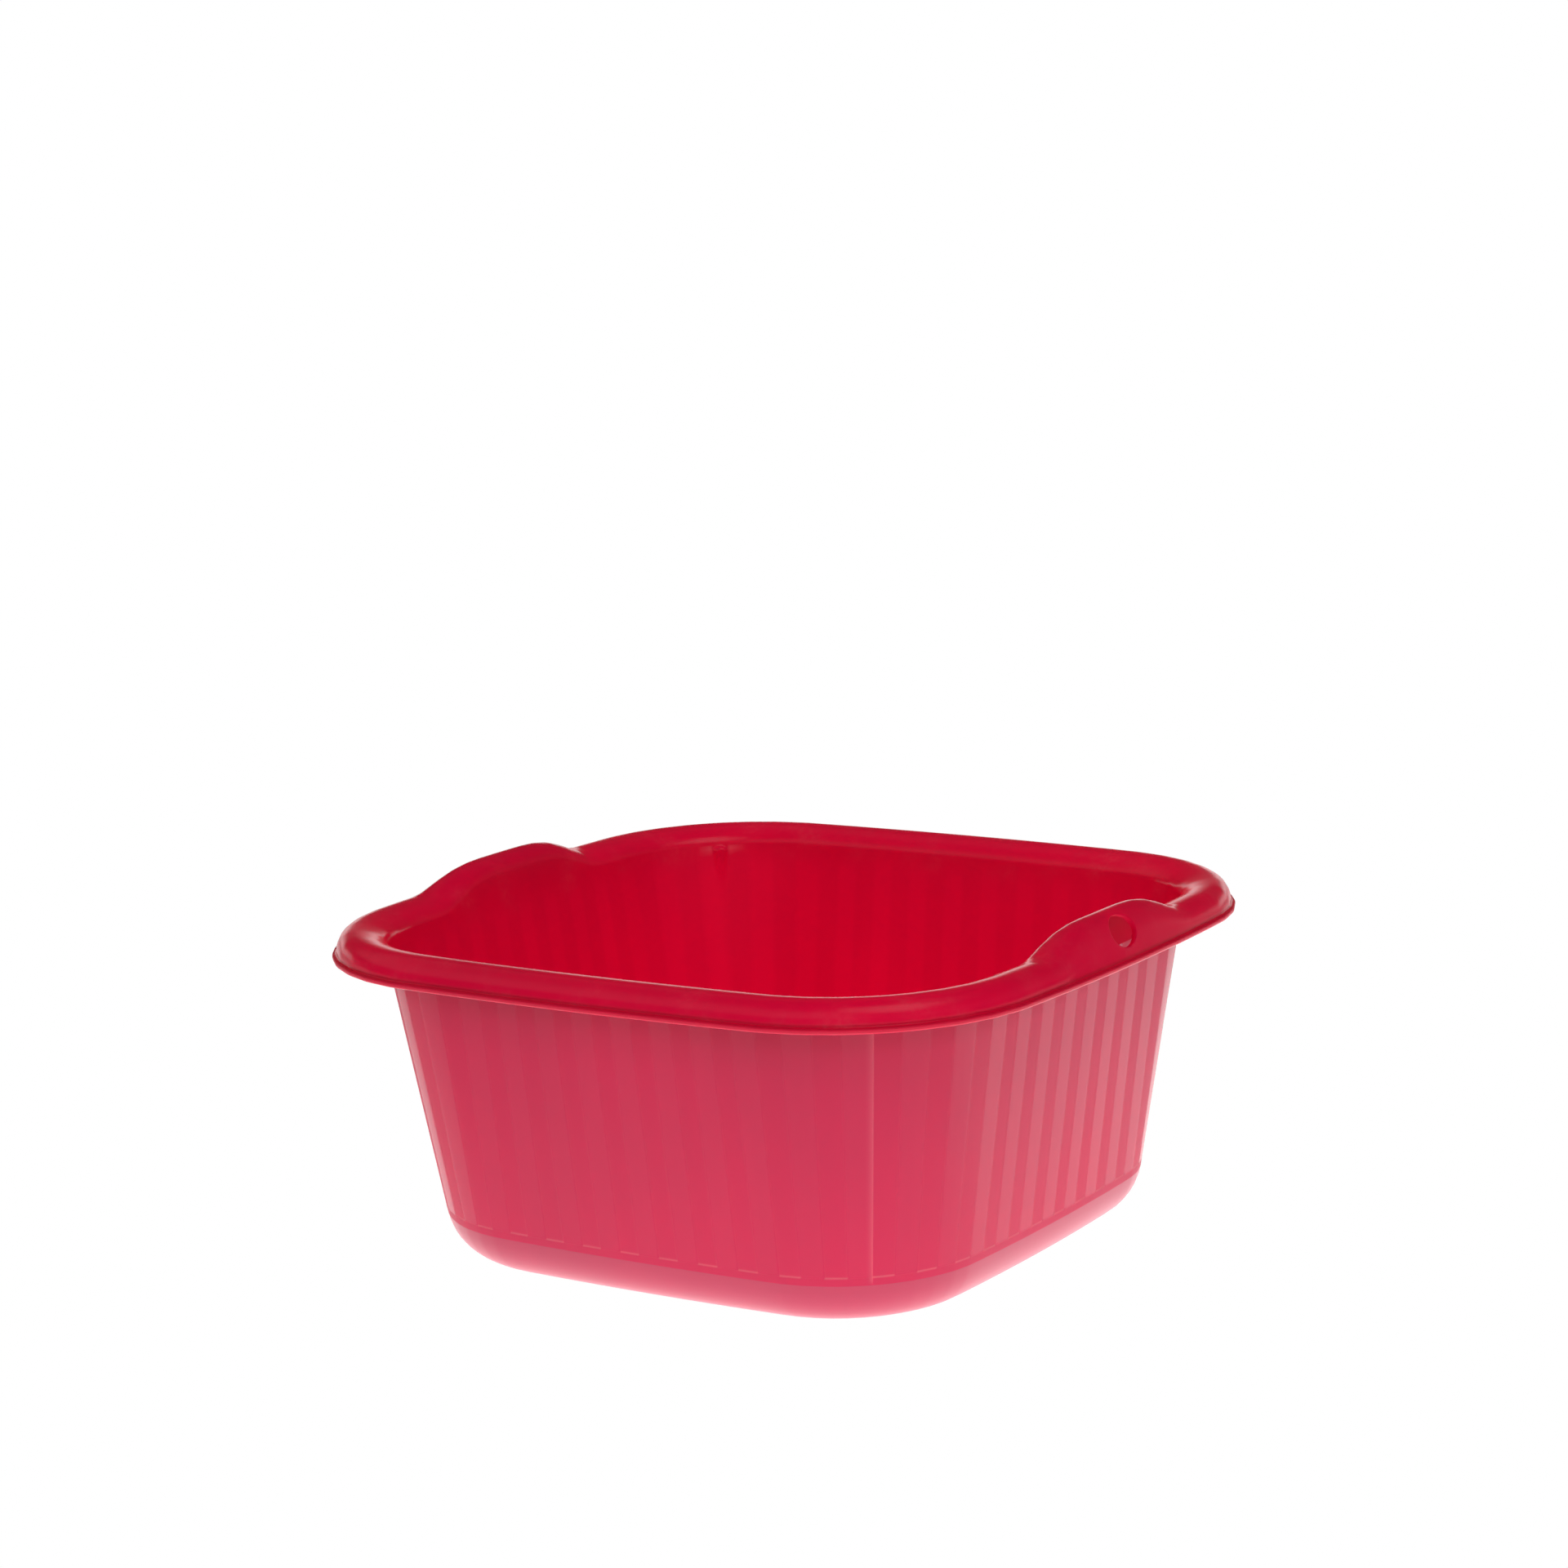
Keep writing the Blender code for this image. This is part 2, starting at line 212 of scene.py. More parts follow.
def recess_share(turn):
    """1 in a recess, 0 on a raised band, and in between on the edge."""
    inside = PITCH * BAND_SHARE / 2 - abs(band_place(turn))
    return smooth_step(0.5 + inside / (2 * HALF_EDGE))


def soft_share(turn):
    """The same stripes with soft edges, as light through the thinner bands shows them on the
    inside; painted into the colour.
    """
    inside = PITCH * BAND_SHARE / 2 - abs(band_place(turn))
    return smooth_step(0.5 + inside / (PITCH * SOFT_EDGE))


def corner_distance(turn):
    """Metres from the nearest corner's diagonal, with its sign."""
    from_corner = turn * SIDES - 0.5
    return (from_corner - math.floor(from_corner + 0.5)) / SIDES * WAY_ROUND


SEAM_PLACE = -PITCH * BAND_SHARE / 2 * WAY_ROUND   # the mould's parting line, by each corner


def seam_share(turn):
    off = abs(corner_distance(turn) - SEAM_PLACE) / (SEAM_WIDTH / 2)
    return 1 - smooth_step(off)


def seam_painted_highlight(turn):
    """Painted highlight: the parting line itself, and on one side of it a strip that fades out."""
    before = (SEAM_PLACE - corner_distance(turn)) / SEAM_FADE
    strip = (1 - before) ** 2 if 0 < before < 1 else 0.0
    return max(seam_share(turn), SEAM_STRIP * strip)


def places_round():
    """Turns of all vertices of a ring, closer together at edges, lugs and seams."""
    flat_shares = (0.0, 0.1, 0.9)
    edge_shares = (0.0, 0.5)
    turns = []
    edge = PITCH * BAND_SHARE / 2
    for index in range(BAND_COUNT):
        middle = FIRST_BAND + index * PITCH
        spans = (
            (-edge + HALF_EDGE, edge - HALF_EDGE, flat_shares),
            (edge - HALF_EDGE, edge + HALF_EDGE, edge_shares),
            (edge + HALF_EDGE, PITCH - edge - HALF_EDGE, flat_shares),
            (PITCH - edge - HALF_EDGE, PITCH - edge + HALF_EDGE, edge_shares),
        )
        for start, end, shares in spans:
            turns += [middle + start + (end - start) * share for share in shares]
    lug_spacing = 0.0004
    lug_steps = 9
    seam_steps = 3
    fade_steps = 4
    hole_steps = 11
    for corner in LUG_CORNERS:
        middle = (corner + 0.5) / SIDES + LUG_OFF_CORNER / WAY_ROUND
        turns += [middle + k * lug_spacing / WAY_ROUND
                  for k in range(-lug_steps, lug_steps + 1)]
    for corner in range(SIDES):
        middle = (corner + 0.5) / SIDES + SEAM_PLACE / WAY_ROUND
        turns += [middle + k * SEAM_WIDTH / 2 / seam_steps / WAY_ROUND
                  for k in range(-seam_steps, seam_steps + 1)]
        turns += [middle - k * SEAM_FADE / fade_steps / WAY_ROUND
                  for k in range(1, fade_steps + 1)]
    turns += [k * HOLE_SPACING / WAY_ROUND for k in range(-hole_steps, hole_steps + 1)]
    turns = sorted(turn % 1.0 for turn in turns)
    spaced = [turns[0]]
    least = 0.00012 / WAY_ROUND
    for turn in turns[1:]:
        if turn - spaced[-1] > least:
            spaced.append(turn)
    return spaced


TURNS = places_round()


# The section through the wall, from the middle of the underside to the middle of the floor


def drafted_fillet(radius, base, out, steps):
    """The round between a flat bottom and the leaning wall, as (out, height)."""
    lean = math.tan(WALL_DRAFT)
    centre_height = base + radius
    centre = out + centre_height * lean - radius / math.cos(WALL_DRAFT)
    points = []
    for index in range(steps + 1):
        angle = (math.pi / 2 - WALL_DRAFT) * index / steps
        height = centre_height - radius * math.cos(angle)
        points.append((centre + radius * math.sin(angle) - height * lean, height))
    return points


def quarter(centre_height, width, rise, first, last, steps):
    """Part of the rim's section, as (out, height, lift, back)."""
    points = []
    wall_side = max(first, last) > 90
    for index in range(steps + 1):
        angle = math.radians(first + (last - first) * index / steps)
        points.append((
            CREST_OUT + width * math.cos(angle),
            centre_height + rise * math.sin(angle),
            1.0 if wall_side else math.sin(angle),
            1.0 + math.cos(angle) if wall_side else math.sin(angle),
        ))
    return points


def rounded(points, rounds, steps=3):
    """Replaces each corner that has a round with an arc; the ends stay."""
    result = [points[0]]
    for before, here, after, radius in zip(points, points[1:], points[2:], rounds):
        start = Vector(before) - Vector(here)
        end = Vector(after) - Vector(here)
        reach = min(radius, start.length * 0.45, end.length * 0.45)
        first = Vector(here) + start.normalized() * reach
        last = Vector(here) + end.normalized() * reach
        for index in range(steps + 1):
            t = index / steps
            bend = first * (1 - t) ** 2 + Vector(here) * 2 * t * (1 - t) + last * t ** 2
            result.append(tuple(bend))
    result.append(points[-1])
    return result


def base_section():
    fillet = drafted_fillet(FOOT_FILLET, base=0.0, out=0.0, steps=10)
    foot_in = fillet[0][0] - FOOT_WIDTH
    panel_end = 0.003
    corners = [
        (foot_in - PANEL_LIFT - panel_end, PANEL_LIFT),
        (foot_in - PANEL_LIFT, PANEL_LIFT),
        (foot_in, 0.0),
        (foot_in + FOOT_WIDTH / 2, 0.0),
    ]
    return rounded(corners, (FOOT_ROUND, FOOT_ROUND)) + fillet


def wall_section():
    """Outer wall as (out, height, share of the bands' depth)."""
    points = [(0.0, BAND_START - 2 * LEDGE_REACH, 0.0), (0.0, BAND_START - LEDGE_REACH, 0.0)]
    for index in range(5):
        share = index / 4
        points.append((0.0, BAND_START + BAND_DEPTH * share, smooth_step(share)))
    low = BAND_START + BAND_DEPTH + LEDGE_REACH
    shade_end = LIP_HEIGHT_ABOVE_GROUND - SHADE_NEAR - SHADE_FADE
    top = RIM_HEIGHT - BAND_END_BELOW_RIM
    for start, end, steps in ((low, shade_end, 7), (shade_end, top, 10)):
        for index in range(steps):
            points.append((0.0, start + index / steps * (end - start), 1.0))
    points.append((0.0, top, 1.0))
    for index in range(1, 4):
        points.append((0.0, top + index / 4 * (ROUND_HEIGHT - top), 1 - smooth_step(index / 4)))
    return points


LIP_STEPS = 4


def lip_section():
    corners = [
        (SKIRT_REACH - LIP_PROUD - WALL_THICKNESS, LIP_HEIGHT_ABOVE_GROUND),
        (SKIRT_REACH, LIP_HEIGHT_ABOVE_GROUND),
        (SKIRT_REACH, LIP_HEIGHT_ABOVE_GROUND + LIP_HEIGHT - LIP_TILT),
        (SKIRT_REACH - LIP_PROUD - GROOVE_CUT,
         LIP_HEIGHT_ABOVE_GROUND + LIP_HEIGHT + GROOVE_CUT),
        dome_start()[:2],
    ]
    return rounded(corners, (LIP_ROUND, LIP_ROUND, GROOVE_ROUND), LIP_STEPS)[1:-1]


GROOVE_ANGLE = math.degrees(math.asin((LIP_HEIGHT + GROOVE_HEIGHT) / SKIRT_DROP))


def dome_start():
    return quarter(LIP_HEIGHT_ABOVE_GROUND, DOME_WIDTH, SKIRT_DROP, GROOVE_ANGLE, 90, 1)[0]


def inner_wall_heights():
    """From the round under the crest down to the round at the floor."""
    lug_top = RIM_HEIGHT - LUG_TOP_BELOW_RIM
    over_lug = 0.0005
    under_lug = 0.001
    spacing = 0.0003
    least = 0.0001
    heights = [lug_top + over_lug - k * spacing for k in range(12)]
    heights = [height for height in heights if height < ROUND_HEIGHT - least]
    low = lug_top - LUG_HEIGHT - under_lug
    bottom = 0.024
    for start, end, steps in ((heights[-1], low, 6), (low, bottom, 7)):
        heights += [start + (end - start) * k / steps for k in range(1, steps + 1)]
    return heights


def lug_relief(turn, height):
    """How far a lug stands in from the inner wall: a small gusset with a round top."""
    if math.floor(turn * SIDES) % SIDES not in LUG_CORNERS:
        return 0.0
    down = RIM_HEIGHT - LUG_TOP_BELOW_RIM - height
    up = min(max(1 - down / LUG_HEIGHT, 0.0), 1.0)
    half = LUG_WIDTH / 2 * (LUG_FOOT_SHARE + (1 - LUG_FOOT_SHARE) * up)
    across = corner_distance(turn) - LUG_OFF_CORNER
    inside = half - math.hypot(across, max(half - down, 0.0))
    return LUG_PROUD * min(up * LUG_CLIMB, 1.0) * smooth_step(inside / LUG_EDGE)


def lug_painted_highlight(turn, height):
    """Painted highlight on both sides of a lug's top."""
    if math.floor(turn * SIDES) % SIDES not in LUG_CORNERS:
        return 0.0
    down = RIM_HEIGHT - LUG_TOP_BELOW_RIM - height
    across = abs(corner_distance(turn) - LUG_OFF_CORNER)
    below_top, tall = 0.0016, 0.0026
    near, near_fade = 0.0024, 0.0012
    far, far_fade = 0.0040, 0.0045
    high = 1 - smooth_step(abs(down - below_top) / tall)
    outside = smooth_step((across - near) / near_fade)
    close = 1 - smooth_step((across - far) / far_fade)
    return high * (outside * close)


class Skin:
    """Rings of vertices, each joined to the last one."""

    def __init__(self):
        self.mesh = bmesh.new()
        # colour marks per vertex: painted stripes of light, painted highlights on ledges, parting
        # lines and beside lugs, and painted shade under the rim and in the groove
        self.soft = self.mesh.verts.layers.float.new("soft_bands")
        self.ledge = self.mesh.verts.layers.float.new("ledge")
        self.shade = self.mesh.verts.layers.float.new("shade")
        self.inner = self.mesh.verts.layers.float.new("inner")
        self.painted_highlight = self.mesh.verts.layers.float.new("painted_highlight")
        self.last = None

    def add(self, ring, slot):
        faces = []
        if self.last is not None:
            for index in range(len(ring)):
                after = (index + 1) % len(ring)
                face = self.mesh.faces.new(
                    (self.last[index], self.last[after], ring[after], ring[index]))
                face.material_index = slot
                face.smooth = True
                faces.append(face)
        self.last = ring
        return faces

    def vertex(self, point, turn, bands=0.0, ledge=0.0, shade=0.0, inner=0.0, painted_highlight=0.0):
        vert = self.mesh.verts.new(point)
        vert[self.soft] = (soft_share(turn) - 0.5) * bands
        vert[self.ledge] = recess_share(turn) * ledge
        vert[self.shade] = shade
        vert[self.inner] = inner
        vert[self.painted_highlight] = painted_highlight
        return vert

    def centre_ring(self, radius, height, square, outline, slot):
        """A ring near the middle: round at square 0, a smaller outline at square 1."""
        ring = []
        for turn in TURNS:
            edge = outline_point(turn, *outline)
            reach = radius * (1 - square) + edge.length * CENTRE_SHARE * square
            flat = edge.normalized() * reach
            ring.append(self.vertex((flat.x, flat.y, height), turn, inner=1.0))
        return self.add(ring, slot)

    def cap(self, ring, slot):
        face = self.mesh.faces.new(ring)
        face.material_index = slot
        face.smooth = True

    def section_ring(self, place, slot, relief=None, shade=None, light=None, **marks):
        out, height, *grip = place
        ring = []
        for turn in TURNS:
            extra = relief(turn) if relief else 0.0
            point = ring_point(turn, out + extra, height, *grip)
            marks["shade"] = shade(point.z) if shade else 0.0
            marks["painted_highlight"] = light(turn) if light else 0.0
            ring.append(self.vertex(point, turn, **marks))
        return self.add(ring, slot)


SATIN, POLISHED, RIM, HOLLOW, FOOT, BEAD, HOLE = range(7)
CENTRE_SHARE = 0.75   # size of the outline that the rings near the middle turn into


def outer_relief(share):
    def relief(turn):
        return -BAND_DEPTH * share * recess_share(turn) + SEAM_RIDGE * seam_share(turn)
    return relief


def inner_relief(height):
    def relief(turn):
        return -lug_relief(turn, height)
    return relief


def draw_underside(skin):
    inwards = FOOT_FILLET + FOOT_WIDTH
    outline = (wall_half(0.0) - inwards, wall_corner(0.0) - inwards)
    edge, slope = 0.0008, 0.0002
    gate = [(0.0012, GATE_DEPTH), (0.0045, GATE_DEPTH), (GATE_RADIUS - edge, GATE_DEPTH),
            (GATE_RADIUS - slope, GATE_DEPTH * 0.75), (GATE_RADIUS + slope, GATE_DEPTH * 0.25),
            (GATE_RADIUS + edge, 0.0)]
    for radius, depth in gate:
        skin.centre_ring(radius, PANEL_LIFT + depth, 0.0, outline, SATIN)
        if radius == gate[0][0]:
            skin.cap(list(reversed(skin.last)), SATIN)
    for radius, square in ((0.02, 0.0), (0.035, 0.15), (0.055, 0.45)):
        skin.centre_ring(radius, PANEL_LIFT, square, outline, SATIN)
    for index, place in enumerate(base_section()):
        skin.section_ring(place, FOOT if index else SATIN)


def draw_outer_wall(skin):
    for out, height, share in wall_section():
        off_ledge = abs(height - BAND_START - BAND_DEPTH / 2) / LEDGE_REACH
        # above the lip the wall, behind the skirt, takes the hollow's darker plastic as painted
        # shade
        hidden = height > LIP_HEIGHT_ABOVE_GROUND + 0.0003
        faces = skin.section_ring((out, height), HOLLOW if hidden else SATIN, outer_relief(share),
                                  shade=painted_rim_shade, light=seam_painted_highlight,
                                  ledge=1 - smooth_step(off_ledge))
        if share > 0.3 and not hidden:
            for face, turn, after in zip(faces, TURNS, TURNS[1:] + [TURNS[0] + 1]):
                if recess_share((turn + after) / 2) < 0.3:
                    face.material_index = POLISHED


def painted_rim_shade(height):
    """1 right under the rim: painted shade of the skirt, where less light reaches the wall."""
    return 1 - smooth_step((LIP_HEIGHT_ABOVE_GROUND - height - SHADE_NEAR) / SHADE_FADE)


def groove_shade(height):
    """1 in the groove over the lip's bead, where little light gets in."""
    off = abs(height - LIP_HEIGHT_ABOVE_GROUND - LIP_HEIGHT - GROOVE_RISE) / GROOVE_SPREAD
    return 1 - smooth_step(off)


def draw_rim(skin):
    hollow = quarter(
        ROUND_HEIGHT, CREST_OUT, INNER_ROUND_DROP - WALL_THICKNESS, 180, 90, 7)
    under = quarter(
        LIP_HEIGHT_ABOVE_GROUND, DOME_WIDTH - WALL_THICKNESS, SKIRT_DROP - WALL_THICKNESS,
        90, 0, 9)
    dome = quarter(LIP_HEIGHT_ABOVE_GROUND, DOME_WIDTH, SKIRT_DROP, GROOVE_ANGLE, 90, 22)
    inner = quarter(
        ROUND_HEIGHT, CREST_OUT + WALL_THICKNESS, INNER_ROUND_DROP, 90, 180, 14)
    for place in hollow + under[1:]:
        skin.section_ring(place, HOLLOW)
    for index, place in enumerate(lip_section()):
        on_bead = LIP_STEPS < index <= 2 * LIP_STEPS + 2
        skin.section_ring(place, BEAD if on_bead else RIM, shade=groove_shade)
    for step in range(1, 4):
        place = Vector(lip_section()[-1] + (0.0, 0.0)).lerp(dome[0], step / 4)
        skin.section_ring(place, RIM, shade=groove_shade)
    for place in dome:
        skin.section_ring(place, RIM, shade=groove_shade)
    for place in inner[1:]:
        skin.section_ring(place, RIM)


def draw_inside(skin):
    for height in inner_wall_heights():
        deep = smooth_step((ROUND_HEIGHT - height) / INSIDE_FADE)
        skin.section_ring((-WALL_THICKNESS, height), RIM, inner_relief(height), bands=deep,
                          inner=deep, light=lambda turn: lug_painted_highlight(turn, height))
    fillet = drafted_fillet(FLOOR_FILLET, base=FLOOR_THICKNESS, out=-WALL_THICKNESS, steps=9)
    for index, place in enumerate(reversed(fillet)):
        skin.section_ring(place, RIM, bands=max(0.0, 1 - index / 6), inner=1.0)
    inwards = fillet[0][0]
    outline = (wall_half(FLOOR_THICKNESS) + inwards, wall_corner(FLOOR_THICKNESS) + inwards)
    for radius, square in ((0.07, 0.6), (0.045, 0.25), (0.02, 0.0), (0.006, 0.0), (0.0012, 0.0)):
        skin.centre_ring(radius, FLOOR_THICKNESS, square, outline, RIM)
    skin.cap(skin.last, RIM)


# The hanging hole


def skirt_point(angle):
    degrees = math.degrees(angle)
    return ring_point(
        0.0, *quarter(LIP_HEIGHT_ABOVE_GROUND, DOME_WIDTH, SKIRT_DROP, degrees, degrees, 1)[0])


def hole_frame():
    """Centre of the hole on the skirt's face, and its directions: along, up and out."""
    angle = math.asin(HOLE_RISE / (SKIRT_DROP + GRIP_RISE))
    step = math.radians(1)
    up = (skirt_point(angle + step) - skirt_point(angle - step)).normalized()
    return skirt_point(angle), Vector((0, 1, 0)), up, Vector((up.z, 0, -up.x))


def open_edges(mesh, faces):
    edges = {edge for face in faces for edge in face.edges}
    inside = set(faces)
    return [edge for edge in edges if any(face not in inside for face in edge.link_faces)]


def cut_hole(skin):
    """Takes the faces round the hole away and joins in a rounded tube through the wall."""
    mesh = skin.mesh
    centre, along, up, out = hole_frame()
    mesh.normal_update()
    tree = BVHTree.FromBMesh(mesh)
    half_long, half_high = HOLE_LENGTH / 2, HOLE_HEIGHT / 2
    in_front = 0.012      # a ray towards the skirt starts this far out
    past_face = 0.0005    # and the next one this far inside the plastic
    near_skirt = 0.006    # faces farther from the skirt's face stay
    facing = 0.3          # and so do faces that lean more, as the cosine of their lean

    def surface(angle, grow, outer):
        """The skirt's outer or inner face on the hole's outline, or a little outside it."""
        spot = (centre + along * (half_long + grow) * math.cos(angle)
                + up * (half_high + grow) * math.sin(angle))
        hit = tree.ray_cast(spot + out * in_front, -out)[0]
        if outer:
            return hit
        return tree.ray_cast(hit - out * past_face, -out)[0]

    steps = 60
    angles = [2 * math.pi * k / steps for k in range(steps)]
    arc = [math.radians(a) for a in (0, 30, 60, 90)]
    levels = []
    for a in arc:
        levels.append([surface(t, HOLE_ROUND * (1 - math.sin(a)), True)
                       - out * HOLE_ROUND * (1 - math.cos(a)) for t in angles])
    for a in reversed(arc):
        levels.append([surface(t, HOLE_ROUND * (1 - math.sin(a)), False)
                       + out * HOLE_ROUND * (1 - math.cos(a)) for t in angles])
    margin = 0.0011
    doomed = {True: [], False: []}
    for face in mesh.faces:
        spot = face.calc_center_median() - centre
        if abs(spot.dot(out)) > near_skirt:
            continue
        far = math.hypot(spot.dot(along) / (half_long + margin),
                         spot.dot(up) / (half_high + margin))
        if far < 1 and abs(face.normal.dot(out)) > facing:
            doomed[face.normal.dot(out) > 0].append(face)
    borders = {outer: open_edges(mesh, faces) for outer, faces in doomed.items()}
    bmesh.ops.delete(mesh, geom=doomed[True] + doomed[False], context="FACES")
    rings = [[skin.vertex(point, 0.0) for point in level] for level in levels]
    for below, above in zip(rings, rings[1:]):
        for index in range(steps):
            after = (index + 1) % steps
            face = mesh.faces.new((below[index], below[after], above[after], above[index]))
            face.material_index = HOLE
            face.smooth = True
    for outer, ring in ((True, rings[0]), (False, rings[-1])):
        circle = [mesh.edges.get((ring[k], ring[(k + 1) % steps])) for k in range(steps)]
        edges = [edge for edge in borders[outer] if edge.is_valid] + circle
        made = bmesh.ops.triangle_fill(
            mesh, edges=edges, use_beauty=True, normal=out if outer else -out)
        for item in made["geom"]:
            if isinstance(item, bmesh.types.BMFace):
                item.material_index = RIM if outer else HOLLOW
                item.smooth = True


def basin_mesh():
    skin = Skin()
    draw_underside(skin)
    draw_outer_wall(skin)
    draw_rim(skin)
    draw_inside(skin)
    cut_hole(skin)
    bmesh.ops.recalc_face_normals(skin.mesh, faces=skin.mesh.faces)
    loose = [edge for edge in skin.mesh.edges if len(edge.link_faces) != 2]
    print("BASIN faces", len(skin.mesh.faces), "open edges", len(loose))
    mesh = bpy.data.meshes.new("basin_moulding")
    skin.mesh.to_mesh(mesh)
    skin.mesh.free()
    return mesh


# Materials

MIX_FIRST, MIX_SECOND, MIX_RESULT = 6, 7, 2   # the colour sockets of a mix node


class Nodes:
    """Short ways to add nodes to one material."""

    def __init__(self, name):
        self.material = bpy.data.materials.new(name)
        self.material.use_nodes = True
        self.tree = self.material.node_tree
        self.tree.nodes.clear()

    def add(self, kind, **settings):
        node = self.tree.nodes.new(kind)
        for name, value in settings.items():
            setattr(node, name, value)
        return node

    def link(self, source, target):
        self.tree.links.new(source, target)

    def value(self, target, given):
        """Sets a socket to a number or colour, or links it."""
        if isinstance(given, bpy.types.NodeSocket):
            self.link(given, target)
        else:
            target.default_value = given

    def math(self, operation, *inputs):
        node = self.add("ShaderNodeMath", operation=operation)
        for socket, given in zip(node.inputs, inputs):
            self.value(socket, given)
        return node.outputs[0]

    def ranged(self, source, low, high):
        """A 0 to 1 value spread over a range."""
        node = self.add("ShaderNodeMapRange")
        self.value(node.inputs["Value"], source)
        node.inputs["To Min"].default_value = low
        node.inputs["To Max"].default_value = high
        return node.outputs["Result"]

    def ranged_between(self, source, start, end, low, high):
        """low below start, high above end, and a smooth change between them."""
        node = self.add("ShaderNodeMapRange", interpolation_type="SMOOTHSTEP")
        self.value(node.inputs["Value"], source)
        for name, number in (("From Min", start), ("From Max", end), ("To Min", low),
                             ("To Max", high)):
            node.inputs[name].default_value = number
        return node.outputs["Result"]

    def distance(self, coords, place):
        node = self.add("ShaderNodeVectorMath", operation="DISTANCE")
        self.link(coords, node.inputs[0])
        node.inputs[1].default_value = place
        return node.outputs["Value"]

    def along(self, coords, direction):
        node = self.add("ShaderNodeVectorMath", operation="DOT_PRODUCT")
        self.link(coords, node.inputs[0])
        node.inputs[1].default_value = direction
        return node.outputs["Value"]

    def noise(self, coords, scale, detail, stretch=(1, 1, 1)):
        mapping = self.add("ShaderNodeMapping")
        self.link(coords, mapping.inputs["Vector"])
        mapping.inputs["Scale"].default_value = stretch
        node = self.add("ShaderNodeTexNoise")
        self.link(mapping.outputs["Vector"], node.inputs["Vector"])
        node.inputs["Scale"].default_value = scale
        node.inputs["Detail"].default_value = detail
        return node.outputs["Fac"]

    def scaled(self, colour, amount):
        node = self.add("ShaderNodeVectorMath", operation="SCALE")
        self.value(node.inputs[0], colour[:3])
        self.link(amount, node.inputs["Scale"])
        return node.outputs["Vector"]

    def blend(self, amount, first, second):
        node = self.add("ShaderNodeMix", data_type="RGBA")
        self.value(node.inputs["Factor"], amount)
        self.value(node.inputs[MIX_FIRST], first)
        self.value(node.inputs[MIX_SECOND], second)
        return node.outputs[MIX_RESULT]

    def attribute(self, name):
        return self.add("ShaderNodeAttribute", attribute_name=name).outputs["Fac"]


WALL_RED = (0.72, 0.003, 0.110, 1.0)
RIM_RED = (0.75, 0.003, 0.058, 1.0)
# pale red of the worn patches, and of painted highlights on parting lines, beside lug tops and on
# ledges
PALE_RED_WEAR_AND_HIGHLIGHT = (1.0, 0.30, 0.38, 1.0)
GLOW = (0.88, 0.003, 0.150, 1.0)
MOTTLE = 0.10            # how much the colour varies over the plastic
CLOUD_SHARE = 0.6        # of round clouds in that, against marks of the flow
GLOSS_SPREAD = 0.15      # how much the roughness varies, as a share of it
SPECK_GLOSS = 0.02       # and what fine specks add to it or take off
INNER_PAINTED_LIGHT = 0.10        # painted light: the inside's colour is lighter by this much
INNER_GLOSS = 0.05       # and rougher
SHADE_GLOSS = 0.2        # how much rougher it is where the colour is deeper, as a share
SEAM_PALE = 0.30         # how far painted highlights turn it pale on a parting line and beside a lug
LEDGE_PALE = 0.5         # and the painted highlight on the ledge under a recess
WAVE_DEPTH = 0.00008     # slow waves of the moulded surface, in metres
DRAG_SHARE = 0.8         # depth of the upright drag marks, as a share of the grain
REFRACTION = 1.49        # polypropylene


